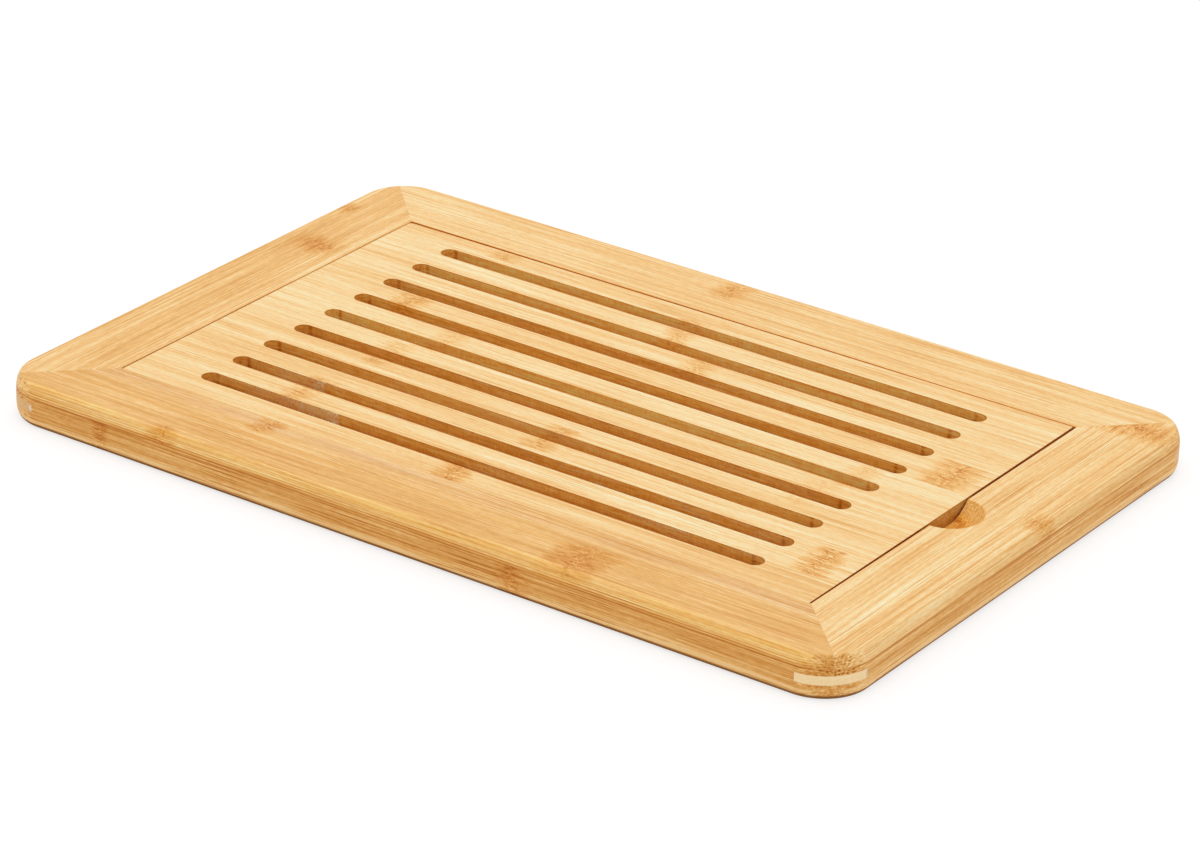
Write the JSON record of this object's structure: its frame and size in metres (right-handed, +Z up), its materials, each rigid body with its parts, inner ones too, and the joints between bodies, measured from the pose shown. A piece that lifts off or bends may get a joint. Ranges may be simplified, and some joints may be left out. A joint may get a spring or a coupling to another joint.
{
  "type": "bread board",
  "caption": "Flat bamboo bread board: mitred frame round a crumb tray, with a slotted cutting grid that lifts out by a finger scoop.",
  "frame": {"origin": "on the underside, in the middle of the board", "axes": "+X along the board towards the finger scoop, +Y across it to the back, +Z up from the table"},
  "size_m": [0.42, 0.276, 0.019],
  "materials": {
    "rail_bamboo": "oiled satin",
    "grid_bamboo": "oiled satin",
    "floor_bamboo": "plain sanded",
    "tongue_wood": "plain sanded"
  },
  "bodies": {
    "frame": {"front_rail_top": "rail_bamboo", "right_rail_top": "rail_bamboo", "back_rail_top": "rail_bamboo", "left_rail_top": "rail_bamboo", "front_rail_base": "rail_bamboo", "right_rail_base": "rail_bamboo", "back_rail_base": "rail_bamboo", "left_rail_base": "rail_bamboo", "front_left_tongue": "tongue_wood", "front_right_tongue": "tongue_wood", "back_right_tongue": "tongue_wood", "back_left_tongue": "tongue_wood", "floor_stave_1": "floor_bamboo", "floor_stave_2": "floor_bamboo", "floor_stave_3": "floor_bamboo", "floor_stave_4": "floor_bamboo", "floor_stave_5": "floor_bamboo", "floor_stave_6": "floor_bamboo", "floor_stave_7": "floor_bamboo", "floor_stave_8": "floor_bamboo"},
    "grid": {"grid_stave_1": "grid_bamboo", "grid_stave_2": "grid_bamboo", "grid_stave_3": "grid_bamboo", "grid_stave_4": "grid_bamboo", "grid_stave_5": "grid_bamboo", "grid_stave_6": "grid_bamboo", "grid_stave_7": "grid_bamboo", "grid_stave_8": "grid_bamboo", "grid_stave_9": "grid_bamboo"}
  },
  "joints": [
    {"name": "grid_lift", "type": "slide", "parent": "frame", "child": "grid", "axis": [0, 0, 1], "range_m": [0, 0.06]}
  ]
}
